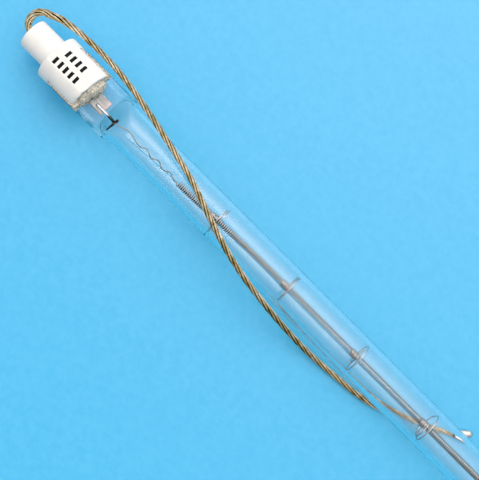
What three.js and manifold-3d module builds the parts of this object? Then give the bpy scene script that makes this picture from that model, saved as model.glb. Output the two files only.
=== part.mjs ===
// A double-ended quartz infrared lamp: a clear quartz tube with a flat pinch seal and a ceramic cap
// at each end, a coiled tungsten filament hung on wire rings inside, and a flexible stranded lead.
// Millimetres, +Z up. The origin is the middle of the tube's axis, and +X runs along the lamp from
// the end with the lead to the other end.
import * as THREE from "three";
import { mergeVertices } from "three/addons/utils/BufferGeometryUtils.js";
import Module from "manifold-3d";

const wasm = await Module();
wasm.setup();

// Driving dimensions. Distances along the lamp start at a cap's rear face.
const OVERALL_LENGTH = 732;
const LIT_LENGTH = 635;
const TUBE_RADIUS = 5;
const TUBE_WALL = 1;
const GAP = 0.2; // between pieces that touch on the real lamp

const CAP_LENGTH = 18.8;
const CAP_RADIUS = 5.7;
const CAP_FLAT_HEIGHT = 5.4; // from the axis to the flat on the cap's top and underside
const NECK_LENGTH = 7.5;
const NECK_RADIUS = 3.75;
const BORE_RADIUS = 1.45;
const BORE_MOUTH_RADIUS = 2.6;
const BORE_MOUTH_DEPTH = 2.2;
const SLOT_START = 10.6; // the slot takes the flat pinch, from the cap's front back to here
const SLOT_HALF_HEIGHT = 2.5;
const CUP_START = 13.2; // the round recess in the cap's front, which the cement fills
const CUP_RADIUS = 4.5;

const PINCH_START = 12;
const PINCH_HALF_WIDTH = 5.7;
const PINCH_HALF_THICKNESS = 1.3;

const FOIL_START = 13.5;
const FOIL_END = 24;
const FOIL_WIDTH = 3.7;
const FOIL_SIDE = -0.4; // the foil isn't quite in the middle of the pinch
const FOIL_THICKNESS = 0.1;
const FOIL_HEIGHT = -0.55; // the foil lies just under the two pins that are welded to it

const PIN_RADIUS = 0.35;
const PIN_START = 5.6;
const PIN_END = 16;
const INNER_LEAD_START = 21.5;
const INNER_LEAD_END = 27.45;
const INNER_LEAD_SIDE = -1.1;
const HOOK_START = [27.85, -0.1, 0];
const HOOK_END = [27.1, -3.6, 0];
const SLEEVE_START = 3;
const SLEEVE_LENGTH = 5;
const SLEEVE_RADIUS = 1.25;

const COIL_RADIUS = 0.85;
const LEG_RADIUS = 0.18;
const LEG_START = 28.6;
const COIL_OVERHANG = 1.2; // how far the coil runs on past each end of the lit length
const COIL_START = (OVERALL_LENGTH - LIT_LENGTH) / 2 - COIL_OVERHANG;

const SUPPORT_COUNT = 29;
const FIRST_SUPPORT = 59.2;
const SUPPORT_WIRE_RADIUS = 0.18;
const RING_RADIUS = 3.5;
const RING_TURNS = 1.08;
const RING_PITCH = 0.5;
const HUB_LENGTH = 2;

const TIP_OFF_POSITION = 33; // from the middle of the lamp
const TIP_OFF_HEIGHT = 2.4; // above the tube's surface

const LEAD_RADIUS = 0.7;
const LEAD_TIP_RADIUS = 0.72;
const LEAD_STEPS = 78;

// The lead's route, from the crimp sleeve round the cap's back and over the tube, then under it.
// Each point is [along the lamp, sideways, up].
const LEAD_ROUTE = [
  [5.2, 0, 0],
  [3.2, 0, 0],
  [1.78, 0.06, 0],
  [0.2, -0.22, 0],
  [-1.27, 0.18, 0],
  [-2.33, 1.22, 0],
  [-2.73, 2.57, 0],
  [-2.44, 3.96, 0],
  [-1.38, 5.16, 0.05],
  [0.09, 5.74, 0.1],
  [1.91, 6.55, 0.2],
  [5, 7.2, 0.3],
  [9, 7.6, 0.5],
  [14, 7.75, 0.8],
  [19, 7.6, 1.3],
  [24, 7.05, 2],
  [30, 6.05, 2.9],
  [36, 4.85, 4],
  [42, 3.55, 5.1],
  [48, 2.15, 5.85],
  [54, 0.2, 6.15],
  [60, -1.95, 5.85],
  [67, -4.05, 4.75],
  [74, -5.45, 3.1],
  [81, -6.35, 0.7],
  [88, -6.95, -2.3],
  [94, -7.15, -4.5],
  [99, -7, -5.65],
  [104, -6.6, -6],
  [110, -6.05, -6],
  [115, -4.95, -6],
  [119.5, -3.1, -6],
  [124, -1, -6],
  [128, 1.25, -6],
  [132.3, 3.95, -6],
];
const LEAD_TIP_END = [135.3, 6, -6];

const material = (color, roughness, metalness, extra = {}) =>
  new THREE.MeshStandardMaterial({ color, roughness, metalness, ...extra });

const MATERIALS = {
  quartz: material(0xeaf6fb, 0.04, 0, { transparent: true, opacity: 0.3 }),
  ceramic: material(0xf3efe8, 0.55, 0),
  cement: material(0xcabfa6, 0.95, 0),
  tungsten: material(0x6d6a68, 0.4, 1),
  molybdenum: material(0xa8a2a0, 0.35, 1),
  nickel: material(0xb9ad8c, 0.4, 1),
  weld: material(0xe6ddcf, 0.3, 1),
};

const point = ([along, side, up]) => new THREE.Vector3(along, side, up);

// A closed mesh as a manifold-3d solid.
function toSolid(geometry) {
  const bare = geometry.clone();
  bare.deleteAttribute("normal");
  bare.deleteAttribute("uv");
  const merged = mergeVertices(bare, 1e-4);
  return new wasm.Manifold(
    new wasm.Mesh({
      numProp: 3,
      vertProperties: merged.attributes.position.array,
      triVerts: new Uint32Array(merged.index.array),
    }),
  );
}

function toGeometry(solid) {
  const mesh = solid.getMesh();
  const geometry = new THREE.BufferGeometry();
  geometry.setAttribute("position", new THREE.BufferAttribute(mesh.vertProperties, 3));
  geometry.setIndex(new THREE.BufferAttribute(mesh.triVerts, 1));
  geometry.computeVertexNormals();
  return geometry;
}

// A profile of [along, radius] points turned round the X axis.
function turned(profile, segments) {
  const points = profile.map(([along, radius]) => new THREE.Vector2(radius, along));
  return new THREE.LatheGeometry(points, segments).rotateZ(-Math.PI / 2);
}

// A ring section from one place to another along the X axis, as a closed profile.
function turnedTube(start, end, innerRadius, outerRadius, segments) {
  const profile = [
    [start, innerRadius],
    [start, outerRadius],
    [end, outerRadius],
    [end, innerRadius],
    [start, innerRadius],
  ];
  return turned(profile, segments);
}

function cylinder(start, end, radius, segments) {
  const profile = [
    [start, 0],
    [start, radius],
    [end, radius],
    [end, 0],
  ];
  return turned(profile, segments);
}

function box(low, high) {
  const size = high.map((value, axis) => value - low[axis]);
  const middle = high.map((value, axis) => (value + low[axis]) / 2);
  return new THREE.BoxGeometry(...size).translate(...middle);
}

// A round wire or cord along a smooth path.
function wire(path, radius, sides, steps) {
  const section = new THREE.Shape();
  for (let i = 0; i < sides; i++) {
    const angle = (2 * Math.PI * i) / sides;
    const place = [radius * Math.cos(angle), radius * Math.sin(angle)];
    if (i === 0) section.moveTo(...place);
    else section.lineTo(...place);
  }
  return new THREE.ExtrudeGeometry(section, { extrudePath: path, steps });
}

// A closed skin over rounded cross-sections. A section has its place along the X axis, its half
// width and half height, its power (2 is an ellipse, more is boxier) and its centre's sideways place.
function loft(sections, segments) {
  const positions = [];
  const triangles = [];
  const rounded = (value, power) => Math.sign(value) * Math.abs(value) ** (2 / power);
  for (const { at, width, height, power = 2, side = 0 } of sections) {
    for (let i = 0; i < segments; i++) {
      const angle = (2 * Math.PI * i) / segments;
      const across = side + width * rounded(Math.cos(angle), power);
      const up = height * rounded(Math.sin(angle), power);
      positions.push(at, across, up);
    }
  }
  for (let row = 0; row < sections.length - 1; row++) {
    for (let i = 0; i < segments; i++) {
      const a = row * segments + i;
      const b = row * segments + ((i + 1) % segments);
      triangles.push(a, b, a + segments, b, b + segments, a + segments);
    }
  }
  const first = positions.length / 3;
  const last = first + 1;
  const ends = [sections[0], sections.at(-1)];
  for (const { at, side = 0 } of ends) positions.push(at, side, 0);
  const lastRow = (sections.length - 1) * segments;
  for (let i = 0; i < segments; i++) {
    const next = (i + 1) % segments;
    triangles.push(first, next, i);
    triangles.push(last, lastRow + i, lastRow + next);
  }
  const geometry = new THREE.BufferGeometry();
  geometry.setAttribute("position", new THREE.Float32BufferAttribute(positions, 3));
  geometry.setIndex(triangles);
  return geometry;
}

// The same sections at both ends of the lamp, the second time turned round.
function bothEnds(sections) {
  const turnedRound = sections
    .map(({ at, side = 0, ...rest }) => ({ at: OVERALL_LENGTH - at, side: -side, ...rest }))
    .reverse();
  return [...sections, ...turnedRound];
}

function ceramicCap() {
  const edge = 0.3;
  const front = CAP_LENGTH;
  const profile = [
    [BORE_MOUTH_DEPTH, BORE_RADIUS],
    [0, BORE_MOUTH_RADIUS],
    [0, NECK_RADIUS - edge],
    [edge, NECK_RADIUS],
    [NECK_LENGTH, NECK_RADIUS],
    [NECK_LENGTH, CAP_RADIUS - edge],
    [NECK_LENGTH + edge, CAP_RADIUS],
    [front - edge, CAP_RADIUS],
    [front, CAP_RADIUS - edge],
    [front, CUP_RADIUS],
    [CUP_START, CUP_RADIUS],
    [CUP_START, BORE_RADIUS],
    [BORE_MOUTH_DEPTH, BORE_RADIUS],
  ];
  const reach = CAP_RADIUS + 1;
  const slot = box(
    [SLOT_START, -reach, -SLOT_HALF_HEIGHT],
    [front + 1, reach, SLOT_HALF_HEIGHT],
  );
  const aboveFlat = box([-1, -reach, CAP_FLAT_HEIGHT], [front + 1, reach, reach]);
  const belowFlat = box([-1, -reach, -reach], [front + 1, reach, -CAP_FLAT_HEIGHT]);
  const cap = toSolid(turned(profile, 32))
    .subtract(toSolid(slot))
    .subtract(toSolid(aboveFlat))
    .subtract(toSolid(belowFlat));
  return toGeometry(cap);
}

// The cement fills the cap's slot and recess round the pinch and bulges out of the front.
function capCement() {
  const radius = CUP_RADIUS - GAP;
  const bulge = [
    [CUP_START + GAP, 0],
    [CUP_START + GAP, radius],
    [CAP_LENGTH + 0.4, radius],
    [CAP_LENGTH + 1, radius - 0.6],
    [CAP_LENGTH + 1.4, radius - 2],
    [CAP_LENGTH + 1.5, 0],
  ];
  const filling = box(
    [SLOT_START + GAP, -PINCH_HALF_WIDTH + 0.3, -SLOT_HALF_HEIGHT + GAP],
    [CAP_LENGTH + 0.4, PINCH_HALF_WIDTH - 0.3, SLOT_HALF_HEIGHT - GAP],
  );
  const pinchRoom = box(
    [PINCH_START - GAP, -PINCH_HALF_WIDTH - 1, -PINCH_HALF_THICKNESS - GAP],
    [CAP_LENGTH + 3, PINCH_HALF_WIDTH + 1, PINCH_HALF_THICKNESS + GAP],
  );
  const pinRoom = cylinder(SLOT_START - 1, PINCH_START + 1, PIN_RADIUS + GAP, 12);
  const cement = toSolid(turned(bulge, 28))
    .add(toSolid(filling))
    .subtract(toSolid(pinchRoom))
    .subtract(toSolid(pinRoom));
  return toGeometry(cement);
}

function sealFoil() {
  const low = [FOIL_START, FOIL_SIDE - FOIL_WIDTH / 2, FOIL_HEIGHT - FOIL_THICKNESS / 2];
  const high = [FOIL_END, FOIL_SIDE + FOIL_WIDTH / 2, FOIL_HEIGHT + FOIL_THICKNESS / 2];
  return box(low, high);
}

function outerPin() {
  return cylinder(PIN_START, PIN_END, PIN_RADIUS, 12);
}

// The inner lead comes out of the pinch and carries a cross bar, which the filament is hooked on.
function innerLead() {
  const bar = new THREE.LineCurve3(point(HOOK_START), point(HOOK_END));
  const lead = cylinder(INNER_LEAD_START, INNER_LEAD_END, PIN_RADIUS, 12);
  lead.translate(0, INNER_LEAD_SIDE, 0);
  return toGeometry(toSolid(lead).add(toSolid(wire(bar, PIN_RADIUS, 12, 1))));
}

// The crimp sleeve in the cap's bore joins the outer pin to the flexible lead.
function crimpSleeve() {
  const end = SLEEVE_START + SLEEVE_LENGTH;
  return turnedTube(SLEEVE_START, end, LEAD_RADIUS + GAP, SLEEVE_RADIUS, 16);
}

// The room round a foil and its two pins inside the pinch, which opens into the tube.
function sealRoom() {
  const halfWidth = FOIL_WIDTH / 2 + GAP;
  const low = [FOIL_START - GAP, FOIL_SIDE - halfWidth, FOIL_HEIGHT - 0.25];
  const high = [FOIL_END + GAP, FOIL_SIDE + halfWidth, FOIL_HEIGHT + 0.25];
  const pinRadius = PIN_RADIUS + GAP;
  const leadRoom = cylinder(INNER_LEAD_START - GAP, 28, pinRadius, 12);
  leadRoom.translate(0, INNER_LEAD_SIDE, 0);
  return toSolid(box(low, high))
    .add(toSolid(cylinder(PINCH_START - 1, PIN_END + GAP, pinRadius, 12)))
    .add(toSolid(leadRoom));
}

// The clear envelope: the tube, a dome and a flat pinch at each end, and the sealed-off pumping tip.
function quartzEnvelope() {
  const inside = TUBE_RADIUS - TUBE_WALL;
  const pinch = { width: PINCH_HALF_WIDTH, height: PINCH_HALF_THICKNESS, power: 5 };
  const skin = bothEnds([
    { at: PINCH_START, ...pinch },
    { at: 25, ...pinch },
    { at: 26.2, width: 5.7, height: 1.75, power: 4 },
    { at: 27.4, width: 5.6, height: 2.9, power: 3 },
    { at: 28.6, width: 5.35, height: 4.1, power: 2.4 },
    { at: 29.8, width: 5.1, height: 4.8, power: 2.1 },
    { at: 31, width: TUBE_RADIUS, height: TUBE_RADIUS },
  ]);
  const hollow = bothEnds([
    { at: 26.3, width: 2.4, height: 0.35, power: 3 },
    { at: 27, width: 3.7, height: 1.1, power: 3 },
    { at: 28.2, width: 4.05, height: 2.6, power: 2.6 },
    { at: 29.6, width: 4.05, height: 3.6, power: 2.2 },
    { at: 31.5, width: inside, height: inside },
  ]);
  const root = -TUBE_WALL * 0.6;
  const nipple = [
    [root, 0],
    [root, 1.9],
    [0.3, 1.5],
    [1.2, 1],
    [TIP_OFF_HEIGHT - 0.4, 0.8],
    [TIP_OFF_HEIGHT, 0.4],
    [TIP_OFF_HEIGHT, 0],
  ];
  const tipOff = turned(nipple, 12)
    .rotateY(-Math.PI / 2)
    .translate(OVERALL_LENGTH / 2 + TIP_OFF_POSITION, 0, TUBE_RADIUS);
  const turnRound = (solid) => solid.rotate([0, 0, 180]).translate([OVERALL_LENGTH, 0, 0]);
  const envelope = toSolid(loft(skin, 28))
    .add(toSolid(tipOff))
    .subtract(toSolid(loft(hollow, 28)))
    .subtract(sealRoom())
    .subtract(turnRound(sealRoom()));
  return toGeometry(envelope);
}

// The filament as a plain rod of the coil's outer size, with a thin leg at each end.
function filament() {
  const leg = { width: LEG_RADIUS, height: LEG_RADIUS, side: -0.55 };
  const coil = { width: COIL_RADIUS, height: COIL_RADIUS };
  const sections = bothEnds([
    { at: LEG_START, ...leg },
    { at: COIL_START - 0.6, ...leg },
    { at: COIL_START, ...coil, side: -0.5 },
    { at: (COIL_START + FIRST_SUPPORT) / 2, ...coil, side: -0.2 },
    { at: FIRST_SUPPORT - HUB_LENGTH, ...coil },
  ]);
  return loft(sections, 12);
}

// A support: wire wound on the coil as a hub, then led out into an open ring that fits the tube.
function filamentSupport() {
  const hubRadius = COIL_RADIUS + GAP + SUPPORT_WIRE_RADIUS;
  const route = [];
  const outward = [hubRadius, 2.1, 3, RING_RADIUS];
  const turn = Math.PI / 6;
  outward.forEach((radius, i) => {
    const angle = (i - outward.length) * turn;
    route.push(new THREE.Vector3(0, radius * Math.cos(angle), radius * Math.sin(angle)));
  });
  const ringSteps = Math.round((RING_TURNS * 2 * Math.PI) / turn);
  for (let i = 0; i <= ringSteps; i++) {
    const angle = i * turn;
    const along = (RING_PITCH * angle) / (2 * Math.PI);
    const ring = [RING_RADIUS * Math.cos(angle), RING_RADIUS * Math.sin(angle)];
    route.push(new THREE.Vector3(along, ...ring));
  }
  const ring = wire(new THREE.CatmullRomCurve3(route), SUPPORT_WIRE_RADIUS, 4, 19);
  const inner = hubRadius - SUPPORT_WIRE_RADIUS;
  const outer = hubRadius + SUPPORT_WIRE_RADIUS;
  const hub = turnedTube(-HUB_LENGTH, SUPPORT_WIRE_RADIUS, inner, outer, 8);
  return toGeometry(toSolid(hub).add(toSolid(ring)));
}

function flexLead() {
  const path = new THREE.CatmullRomCurve3(LEAD_ROUTE.map(point), false, "centripetal");
  return wire(path, LEAD_RADIUS, 8, LEAD_STEPS);
}

// The lead's end, where the strands are fused into one solid stub.
function leadTip() {
  const from = point(LEAD_ROUTE.at(-1));
  const to = point(LEAD_TIP_END);
  const length = from.distanceTo(to);
  const rounding = 0.3;
  const profile = [
    [GAP, 0],
    [GAP, LEAD_TIP_RADIUS],
    [length - rounding, LEAD_TIP_RADIUS],
    [length, LEAD_TIP_RADIUS - rounding],
    [length, 0],
  ];
  const heading = Math.atan2(to.y - from.y, to.x - from.x);
  return turned(profile, 12).rotateZ(heading).translate(from.x, from.y, from.z);
}

const lamp = new THREE.Group();
const nearFrame = new THREE.Group();
const farFrame = new THREE.Group();
nearFrame.position.x = -OVERALL_LENGTH / 2;
farFrame.position.x = OVERALL_LENGTH / 2;
farFrame.rotation.z = Math.PI;
lamp.add(nearFrame, farFrame);

function addPiece(parent, name, geometry, slot) {
  const piece = new THREE.Mesh(geometry, MATERIALS[slot].clone());
  piece.name = name;
  parent.add(piece);
  return piece;
}

const END_FRAMES = { near: nearFrame, far: farFrame };
for (const [end, frame] of Object.entries(END_FRAMES)) {
  addPiece(frame, `${end}_ceramic_cap`, ceramicCap(), "ceramic");
  addPiece(frame, `${end}_cap_cement`, capCement(), "cement");
  addPiece(frame, `${end}_seal_foil`, sealFoil(), "molybdenum");
  addPiece(frame, `${end}_outer_pin`, outerPin(), "molybdenum");
  addPiece(frame, `${end}_inner_lead`, innerLead(), "molybdenum");
  addPiece(frame, `${end}_crimp_sleeve`, crimpSleeve(), "nickel");
}

addPiece(nearFrame, "quartz_envelope", quartzEnvelope(), "quartz");
addPiece(nearFrame, "filament", filament(), "tungsten");

const supportGeometry = filamentSupport();
const supportPitch = (OVERALL_LENGTH - 2 * FIRST_SUPPORT) / (SUPPORT_COUNT - 1);
for (let i = 0; i < SUPPORT_COUNT; i++) {
  const name = `filament_support_${String(i + 1).padStart(2, "0")}`;
  const support = addPiece(nearFrame, name, supportGeometry, "tungsten");
  support.position.x = FIRST_SUPPORT + i * supportPitch;
  support.rotation.x = 2.4 * i;
}

addPiece(nearFrame, "flex_lead", flexLead(), "nickel");
addPiece(nearFrame, "lead_tip", leadTip(), "weld");

export default lamp;
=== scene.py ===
"""A double-ended quartz infrared lamp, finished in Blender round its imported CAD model.

Lengths are metres. The pieces at an end of the lamp are made in that end's own frame: X starts at the
ceramic cap's rear face and points into the lamp. END_FRAMES puts such a piece at either end.
"""

import math

import bmesh
import bpy
from mathutils import Matrix, Vector, noise


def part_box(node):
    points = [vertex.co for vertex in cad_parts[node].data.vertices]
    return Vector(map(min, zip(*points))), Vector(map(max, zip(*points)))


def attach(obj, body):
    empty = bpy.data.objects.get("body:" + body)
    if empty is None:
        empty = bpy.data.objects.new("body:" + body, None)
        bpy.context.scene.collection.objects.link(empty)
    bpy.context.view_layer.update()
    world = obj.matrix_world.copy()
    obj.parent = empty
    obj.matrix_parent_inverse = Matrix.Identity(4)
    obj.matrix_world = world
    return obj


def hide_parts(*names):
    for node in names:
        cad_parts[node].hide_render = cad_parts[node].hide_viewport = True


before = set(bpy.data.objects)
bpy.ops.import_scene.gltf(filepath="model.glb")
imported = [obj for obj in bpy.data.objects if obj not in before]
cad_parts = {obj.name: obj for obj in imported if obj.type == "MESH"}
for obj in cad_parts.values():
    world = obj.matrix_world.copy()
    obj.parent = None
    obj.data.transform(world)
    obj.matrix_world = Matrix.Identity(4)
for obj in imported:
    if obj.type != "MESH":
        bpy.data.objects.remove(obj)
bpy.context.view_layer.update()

MM = 0.001

# Sizes read from the CAD model.
cap_low, cap_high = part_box("near_ceramic_cap")
tube_low, tube_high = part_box("quartz_envelope")
foil_low, foil_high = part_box("near_seal_foil")
REAR = cap_low.x
CAP_LENGTH = cap_high.x - REAR
CAP_RADIUS = cap_high.y
CAP_FLAT_HEIGHT = cap_high.z
LAMP_LENGTH = -2 * REAR
TUBE_RADIUS = -tube_low.z
PINCH_START = tube_low.x - REAR
PINCH_HALF_WIDTH = tube_high.y
FOIL_START = foil_low.x - REAR
FOIL_END = foil_high.x - REAR
FOIL_HALF_WIDTH = (foil_high.y - foil_low.y) / 2
FOIL_SIDE = (foil_low.y + foil_high.y) / 2
FOIL_HEIGHT = (foil_low.z + foil_high.z) / 2

# Sizes that the CAD model's boxes don't show.
TUBE_WALL = 1.0 * MM
NECK_LENGTH = 7.5 * MM
NECK_RADIUS = 3.75 * MM
BORE_RADIUS = 1.45 * MM
BORE_MOUTH_RADIUS = 2.6 * MM
BORE_MOUTH_DEPTH = 2.2 * MM
SLOT_START = 10.6 * MM
SLOT_HALF_HEIGHT = 2.5 * MM
CUP_START = 13.2 * MM
CUP_RADIUS = 4.5 * MM
PINCH_WEB = 0.95 * MM  # half the thickness of the pinch's middle
PINCH_BEAD = 0.4 * MM  # how far its thick edges stand above the middle
PINCH_END = 24.8 * MM  # where the pinch starts to open into the tube
DOME_END = 31 * MM
HOLLOW_START = PINCH_END + 0.2 * MM
TIP_OFF_PLACE = 399 * MM
TIP_OFF_HEIGHT = 2.35 * MM
TIP_OFF_RADIUS = 1.05 * MM

PIN_RADIUS = 0.35 * MM
COIL_RADIUS = 0.85 * MM
COIL_WIRE_RADIUS = 0.14 * MM
COIL_START = 47.3 * MM
COIL_TURNS = 1275
COIL_PITCH = (LAMP_LENGTH - 2 * COIL_START) / COIL_TURNS
COIL_SIDESTEP = -0.7 * MM  # the coil's first turns hang off the axis, pulled by the leg
COIL_CENTRED = 74 * MM
LEG_WIRE_RADIUS = 0.15 * MM
INNER_LEAD_START = 21.5 * MM
INNER_LEAD_SIDE = -1.1 * MM
HOOK_START = Vector((27.85, -0.1, 0)) * MM
HOOK_END = Vector((27.1, -3.6, 0)) * MM

SUPPORT_WIRE_RADIUS = 0.15 * MM
RING_RADIUS = 3.5 * MM
RING_TURNS = 1.08
RING_PITCH = 0.5 * MM
HUB_LENGTH = 2 * MM
SPOKE_TURN = 2 * math.pi / 3  # the angle over which a support's wire runs out to its ring
SUPPORT_COUNT = 29

LEAD_RADIUS = 0.7 * MM
LEAD_BUNDLES = 6
BUNDLE_STRANDS = 6
BUNDLE_RADIUS = LEAD_RADIUS / 3
STRAND_RADIUS = BUNDLE_RADIUS / 3
LEAD_LAY = 17 * MM
BUNDLE_LAY = 5.5 * MM

# The lead's route, from the crimp sleeve round the cap's back and over the tube, then under it:
# [along the lamp from the cap's rear face, sideways, up], in millimetres.
LEAD_ROUTE = [
    [5.2, 0, 0],
    [3.2, 0, 0],
    [1.78, 0.06, 0],
    [0.2, -0.22, 0],
    [-1.27, 0.18, 0],
    [-2.33, 1.22, 0],
    [-2.73, 2.57, 0],
    [-2.44, 3.96, 0],
    [-1.38, 5.16, 0.05],
    [0.09, 5.74, 0.1],
    [1.91, 6.55, 0.2],
    [5, 7.2, 0.3],
    [9, 7.6, 0.5],
    [14, 7.75, 0.8],
    [19, 7.6, 1.3],
    [24, 7.05, 2],
    [30, 6.05, 2.9],
    [36, 4.85, 4],
    [42, 3.55, 5.1],
    [48, 2.15, 5.85],
    [54, 0.2, 6.15],
    [60, -1.95, 5.85],
    [67, -4.05, 4.75],
    [74, -5.45, 3.1],
    [81, -6.35, 0.7],
    [88, -6.95, -2.3],
    [94, -7.15, -4.5],
    [99, -7, -5.65],
    [104, -6.6, -6],
    [110, -6.05, -6],
    [115, -4.95, -6],
    [119.5, -3.1, -6],
    [124, -1, -6],
    [128, 1.25, -6],
    [132.3, 3.95, -6],
]
LEAD_TIP_END = [135.3, 6, -6]

NEAR_FRAME = Matrix.Translation((REAR, 0, 0))
END_FRAMES = {"near": NEAR_FRAME, "far": Matrix.Rotation(math.pi, 4, "Z") @ NEAR_FRAME}


# Curves and small sums.


def smoothstep(low, high, value):
    share = min(max((value - low) / (high - low), 0.0), 1.0)
    return share * share * (3 - 2 * share)


def mix(first, second, share):
    return first + (second - first) * share


def on_circle(along, radius, angle):
    return Vector((along, radius * math.cos(angle), radius * math.sin(angle)))


def smooth_path(points, steps):
    """A centripetal Catmull-Rom curve through the points, with so many steps between neighbours."""
    ends = [2 * points[0] - points[1], *points, 2 * points[-1] - points[-2]]
    path = []
    for a, b, c, d in zip(ends, ends[1:], ends[2:], ends[3:]):
        knots = [0.0]
        for p, q in ((a, b), (b, c), (c, d)):
            knots.append(knots[-1] + math.sqrt((q - p).length))
        k0, k1, k2, k3 = knots
        for step in range(steps):
            t = mix(k1, k2, step / steps)
            ab = mix(a, b, (t - k0) / (k1 - k0))
            bc = mix(b, c, (t - k1) / (k2 - k1))
            cd = mix(c, d, (t - k2) / (k3 - k2))
            early = mix(ab, bc, (t - k0) / (k2 - k0))
            late = mix(bc, cd, (t - k1) / (k3 - k1))
            path.append(mix(early, late, (t - k1) / (k2 - k1)))
    path.append(points[-1].copy())
    return path


def path_length(path):
    return sum((q - p).length for p, q in zip(path, path[1:]))


def evenly(path, spacing):
    """The same path with its points about that far apart."""
    count = max(2, round(path_length(path) / spacing))
    step = path_length(path) / count
    result = [path[0].copy()]
    travelled = 0.0
    for p, q in zip(path, path[1:]):
        reach = (q - p).length
        while len(result) < count and travelled + reach >= step * len(result):
            result.append(mix(p, q, (step * len(result) - travelled) / reach))
        travelled += reach
    result.append(path[-1].copy())
    return result


def moving_frames(path):
    """A sideways and an upward direction at each point of a path, turning as little as they can."""
    side = (path[1] - path[0]).orthogonal().normalized()
    frames = []
    for i in range(len(path)):
        tangent = (path[min(i + 1, len(path) - 1)] - path[max(i - 1, 0)]).normalized()
        side = (side - tangent * side.dot(tangent)).normalized()
        frames.append((side, tangent.cross(side)))
    return frames


# Meshes.


class Skin:
    """The points and faces gathered for one piece."""

    def __init__(self):
        self.points = []
        self.faces = []

    def rings(self, rings, capped=True):
        """Joins closed rings of points, one after another, and closes both ends."""
        sides = len(rings[0])
        start = len(self.points)
        for ring in rings:
            self.points.extend(ring)
        for row in range(len(rings) - 1):
            for i in range(sides):
                a = start + row * sides + i
                b = start + row * sides + (i + 1) % sides
                self.faces.append((a, b, b + sides, a + sides))
        if capped:
            last = start + (len(rings) - 1) * sides
            self.faces.append(tuple(range(start + sides - 1, start - 1, -1)))
            self.faces.append(tuple(range(last, last + sides)))

    def wire(self, path, radius, sides):
        """A round wire along a path, with rounded ends."""
        end_shape = [0.55, 0.88]
        rings = []
        for i, (centre, (side, up)) in enumerate(zip(path, moving_frames(path))):
            from_end = min(i, len(path) - 1 - i)
            reach = radius * (end_shape[from_end] if from_end < len(end_shape) else 1)
            turn = 2 * math.pi / sides
            rings.append(
                [
                    centre + reach * (side * math.cos(turn * j) + up * math.sin(turn * j))
                    for j in range(sides)
                ]
            )
        self.rings(rings)

    def turned(self, profile, sides):
        """A profile of (along, radius) turned round the X axis. Its ends are on the axis or closed."""
        turn = 2 * math.pi / sides
        rings = [[on_circle(along, radius, turn * j) for j in range(sides)] for along, radius in profile]
        closed = profile[0] == profile[-1]
        if closed:
            rings.pop()
            start = len(self.points)
            count = len(rings)
            for ring in rings:
                self.points.extend(ring)
            for row in range(count):
                for j in range(sides):
                    a = start + row * sides
                    b = start + (row + 1) % count * sides
                    k = (j + 1) % sides
                    self.faces.append((a + j, a + k, b + k, b + j))
        else:
            self.rings(rings)

    def mesh(self, name, tidy_normals=True):
        mesh = bpy.data.meshes.new(name)
        mesh.from_pydata(self.points, [], self.faces)
        if tidy_normals:
            work = bmesh.new()
            work.from_mesh(mesh)
            bmesh.ops.recalc_face_normals(work, faces=work.faces)
            work.to_mesh(mesh)
            work.free()
        return mesh


def box_mesh(low, high):
    """A box, for cutting another mesh with."""
    mesh = bpy.data.meshes.new("cutter")
    work = bmesh.new()
    bmesh.ops.create_cube(work, size=1)
    size = [b - a for a, b in zip(low, high)]
    middle = [(a + b) / 2 for a, b in zip(low, high)]
    work.transform(Matrix.Translation(middle) @ Matrix.Diagonal((*size, 1)))
    work.to_mesh(mesh)
    work.free()
    return mesh


def new_object(name, mesh):
    piece = bpy.data.objects.new(name, mesh)
    bpy.context.scene.collection.objects.link(piece)
    return piece


def applied(piece):
    """The piece's mesh once its modifiers are applied. The piece itself is removed."""
    bpy.context.view_layer.update()
    graph = bpy.context.evaluated_depsgraph_get()
    mesh = bpy.data.meshes.new_from_object(piece.evaluated_get(graph))
    bpy.data.objects.remove(piece)
    return mesh


def cut(mesh, boxes):
    """A mesh with boxes, each a low and a high corner, cut out of it."""
    piece = new_object("being_cut", mesh)
    cutters = [new_object("cutter", box_mesh(*corners)) for corners in boxes]
    for cutter in cutters:
        boolean = piece.modifiers.new("cut", "BOOLEAN")
        boolean.operation = "DIFFERENCE"
        boolean.solver = "EXACT"
        boolean.object = cutter
    result = applied(piece)
    for cutter in cutters:
        bpy.data.objects.remove(cutter)
    return result


def remeshed(mesh, voxel, smoothing=0):
    """An even skin of the mesh. The remesher works in millimetres, since it has a smallest voxel."""
    mesh.transform(Matrix.Scale(1 / MM, 4))
    piece = new_object("being_remeshed", mesh)
    remesh = piece.modifiers.new("remesh", "REMESH")
    remesh.mode = "VOXEL"
    remesh.voxel_size = voxel / MM
    if smoothing:
        smooth = piece.modifiers.new("smooth", "SMOOTH")
        smooth.factor = 0.5
        smooth.iterations = smoothing
    result = applied(piece)
    result.transform(Matrix.Scale(MM, 4))
    return result


def mark_painted_shade(mesh, unshaded_values):
    """Stores how much painted shade each point gets, from 0, painted fully as shade deep in the gaps, to
    1, its own colour outside, for the material.
    """
    mesh.attributes.new("exposure", "FLOAT", "POINT").data.foreach_set("value", unshaded_values)


def add_piece(name, mesh, material, stands_for=(), place=None, smooth=True):
    """A finished piece on the lamp's one body."""
    if place is not None:
        mesh.transform(place)
    mesh.polygons.foreach_set("use_smooth", [smooth] * len(mesh.polygons))
    mesh.materials.clear()
    mesh.materials.append(material)
    piece = new_object(name, mesh)
    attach(piece, "root")
    if stands_for:
        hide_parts(*stands_for)
    return piece


# Materials.


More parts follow.
